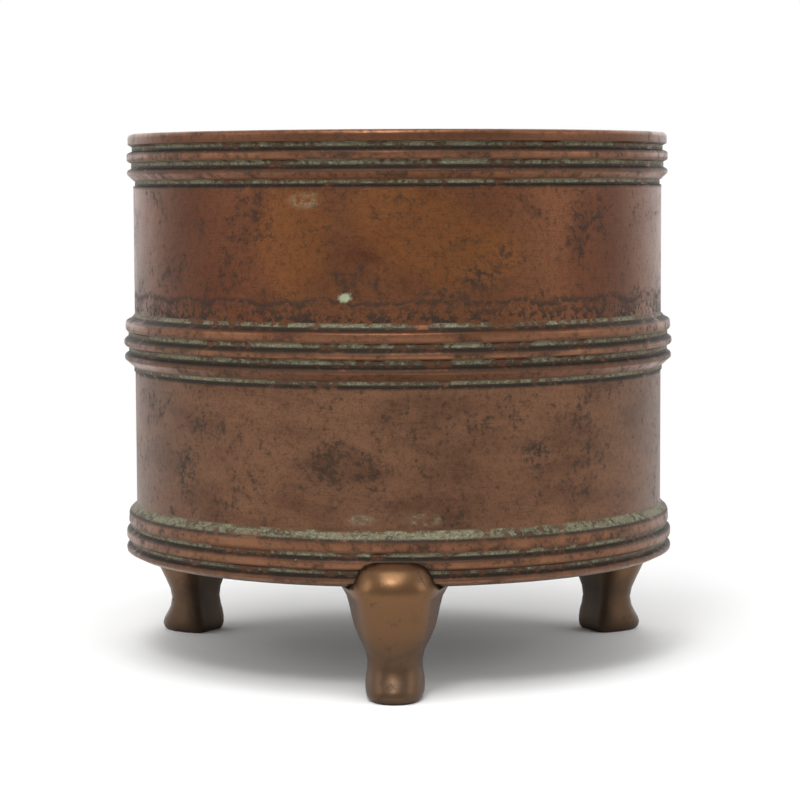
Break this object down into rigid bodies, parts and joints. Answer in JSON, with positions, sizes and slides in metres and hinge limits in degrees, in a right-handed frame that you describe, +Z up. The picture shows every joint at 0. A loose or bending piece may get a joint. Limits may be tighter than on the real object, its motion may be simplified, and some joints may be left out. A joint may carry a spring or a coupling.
{
  "type": "tripod incense burner",
  "caption": "Straight-sided bronze incense burner with ribbed bands at the mouth, middle and base, an open bowl and short cabriole feet.",
  "frame": {"origin": "the middle of the base of the whole burner's box, on the surface that the three soles stand on; the axis of the drum is 3.6 mm behind it", "axes": "+Z up, along the axis of the drum, -Y towards the foot that faces the front, +X to the right of that foot as it is seen from the front"},
  "size_m": [0.1498, 0.1569, 0.1425],
  "materials": {
    "drum_bronze": "cast and turned bronze with a brown patina and verdigris in the grooves",
    "floor_bronze": "dull dark bronze",
    "solder": "dull grey solder",
    "foot_bronze": "cast bronze, rubbed smooth at the knee",
    "rivet_bronze": "hammered bronze"
  },
  "bodies": {
    "root": {"drum_wall": "drum_bronze", "floor_disc": "floor_bronze", "floor_solder_seam": "solder", "foot_front": "foot_bronze", "foot_rear_right": "foot_bronze", "foot_rear_left": "foot_bronze", "rivet_front": "rivet_bronze", "rivet_rear_right": "rivet_bronze", "rivet_rear_left": "rivet_bronze"}
  },
  "joints": []
}
